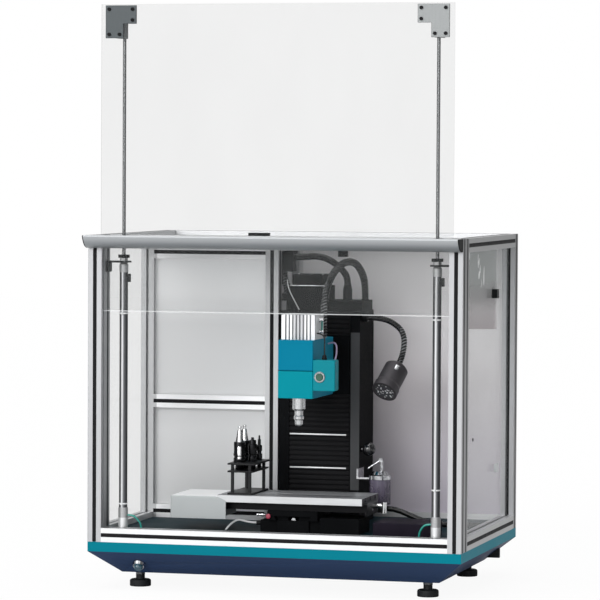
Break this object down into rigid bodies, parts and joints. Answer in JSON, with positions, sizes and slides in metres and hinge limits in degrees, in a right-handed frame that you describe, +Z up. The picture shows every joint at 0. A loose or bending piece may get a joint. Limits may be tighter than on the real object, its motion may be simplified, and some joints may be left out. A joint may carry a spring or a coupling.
{
  "type": "cnc machining center",
  "caption": "Benchtop CNC milling machine inside a slotted-bar enclosure with a lifting clear door, control cabinet, tool rack, lamp and levelling feet.",
  "frame": {"origin": "on the floor under the middle of the bounding box of the whole machine with its door raised", "axes": "+Z up, front towards -Y, +X to the right seen from the front"},
  "size_m": [1.1, 0.83, 1.681],
  "materials": {
    "aluminium_bar": "anodised, satin",
    "teal_paint": "gloss paint",
    "dark_tray": "satin paint",
    "grey_sheet": "satin paint",
    "clear_sheet": "clear, smooth",
    "black_plastic": "matte",
    "rubber": "matte",
    "steel": "ground",
    "chrome": "bright",
    "grey_metal": "satin",
    "hose": "smooth",
    "iron_paint": "painted, satin",
    "head_paint": "painted, gloss",
    "cover_paint": "gloss",
    "pale_cover": "satin paint",
    "lamp_paint": "satin paint",
    "lens": "frosted",
    "smoked_jar": "smoked, clear",
    "bellows": "matte",
    "green_lens": "lit lens",
    "dark_lens": "gloss",
    "purple_box": "satin",
    "rack_metal": "satin"
  },
  "bodies": {
    "enclosure": {"base_pan": "teal_paint", "foot_pads": "rubber", "foot_studs": "steel", "floor_tray": "dark_tray", "front_posts": "aluminium_bar", "rear_posts": "aluminium_bar", "bottom_rails": "aluminium_bar", "top_rails": "aluminium_bar", "partition_frame": "aluminium_bar", "partition_panels": "grey_sheet", "cabinet_panels": "grey_sheet", "side_windows": "clear_sheet", "roof_sheet": "clear_sheet", "hood_bar": "aluminium_bar", "hood_end_caps": "black_plastic", "catches": "black_plastic", "cylinder_barrels": "steel", "cylinder_caps": "black_plastic", "cylinder_straps": "black_plastic", "floor_hoses": "hose", "main_button_bezel": "chrome", "mill_base": "iron_paint", "column": "iron_paint", "bellows_lower": "bellows", "bellows_upper": "bellows", "z_drive": "black_plastic", "head_conduit": "rubber", "conduit_fittings": "black_plastic", "supply_conduits": "rubber", "oiler_jar": "smoked_jar", "oiler_cap": "black_plastic", "floor_box": "purple_box"},
    "door": {"door_sheet": "clear_sheet", "corner_brackets": "grey_metal", "bracket_screws": "steel", "rod_blocks": "grey_metal", "piston_rods": "chrome"},
    "saddle": {"saddle": "iron_paint"},
    "table": {"table": "steel", "x_drive_cover": "pale_cover", "tool_rack": "rack_metal", "rack_tools": "black_plastic"},
    "head": {"head_carriage": "iron_paint", "head_casting": "head_paint", "head_cover": "cover_paint", "control_box": "cover_paint", "head_button_ring": "chrome", "spindle_motor": "steel"},
    "spindle": {"spindle": "steel", "tool_chuck": "chrome"},
    "head_button": {"head_button": "green_lens"},
    "main_button": {"main_button": "dark_lens"},
    "oiler_lever": {"oiler_lever": "steel"},
    "lock_knob": {"lock_knob": "black_plastic"},
    "lamp": {"lamp_arm": "rubber", "lamp_head": "lamp_paint", "lamp_lens": "lens"},
    "z_screw": {"z_screw": "steel"},
    "y_screw": {"y_screw": "steel"},
    "x_screw": {"x_screw": "steel"}
  },
  "joints": [
    {"name": "door_lift", "type": "slide", "parent": "enclosure", "child": "door", "axis": [0, 0, 1], "range_m": [-0.62, 0]},
    {"name": "saddle_y", "type": "slide", "parent": "enclosure", "child": "saddle", "axis": [0, 1, 0], "range_m": [-0.06, 0.06]},
    {"name": "table_x", "type": "slide", "parent": "saddle", "child": "table", "axis": [1, 0, 0], "range_m": [-0.07, 0.07]},
    {"name": "head_z", "type": "slide", "parent": "enclosure", "child": "head", "axis": [0, 0, 1], "range_m": [-0.14, 0.06], "deforming": ["bellows_lower", "bellows_upper", "head_conduit"]},
    {"name": "spindle_spin", "type": "hinge", "parent": "head", "child": "spindle", "pos_m": [0.013, -0.11, 0.549], "axis": [0, 0, 1], "continuous": true},
    {"name": "main_button_press", "type": "slide", "parent": "enclosure", "child": "main_button", "axis": [0, -0.6306, -0.7761], "range_m": [-0.004, 0], "stiffness_N_per_m": 800, "springref_m": 0.002},
    {"name": "head_button_press", "type": "slide", "parent": "head", "child": "head_button", "axis": [0, -1, 0], "range_m": [-0.003, 0], "stiffness_N_per_m": 600, "springref_m": 0.002},
    {"name": "oiler_pump", "type": "hinge", "parent": "enclosure", "child": "oiler_lever", "pos_m": [0.209, 0.103, 0.357], "axis": [0, 1, 0], "range_deg": [0, 60]},
    {"name": "slide_lock", "type": "hinge", "parent": "enclosure", "child": "lock_knob", "pos_m": [0.1358, 0.147, 0.383], "axis": [1, 0, 0], "range_deg": [-30, 150]},
    {"name": "lamp_turn", "type": "hinge", "parent": "enclosure", "child": "lamp", "pos_m": [0.142, 0.165, 0.773], "axis": [1, 0, 0], "range_deg": [-25, 25]},
    {"name": "z_screw_spin", "type": "hinge", "parent": "enclosure", "child": "z_screw", "pos_m": [0.013, 0.185, 0.237], "axis": [0, 0, 1], "range_deg": [-10100, 4400]},
    {"name": "y_screw_spin", "type": "hinge", "parent": "enclosure", "child": "y_screw", "pos_m": [0.013, -0.055, 0.198], "axis": [0, 1, 0], "range_deg": [-4400, 4400]},
    {"name": "x_screw_spin", "type": "hinge", "parent": "table", "child": "x_screw", "pos_m": [0.013, -0.105, 0.2293], "axis": [1, 0, 0], "range_deg": [-5100, 5100]}
  ],
  "couplings": [
    {"joint": "z_screw_spin", "follows": "head_z", "rad_per_m": 1256.6},
    {"joint": "y_screw_spin", "follows": "saddle_y", "rad_per_m": 1256.6},
    {"joint": "x_screw_spin", "follows": "table_x", "rad_per_m": 1256.6}
  ]
}
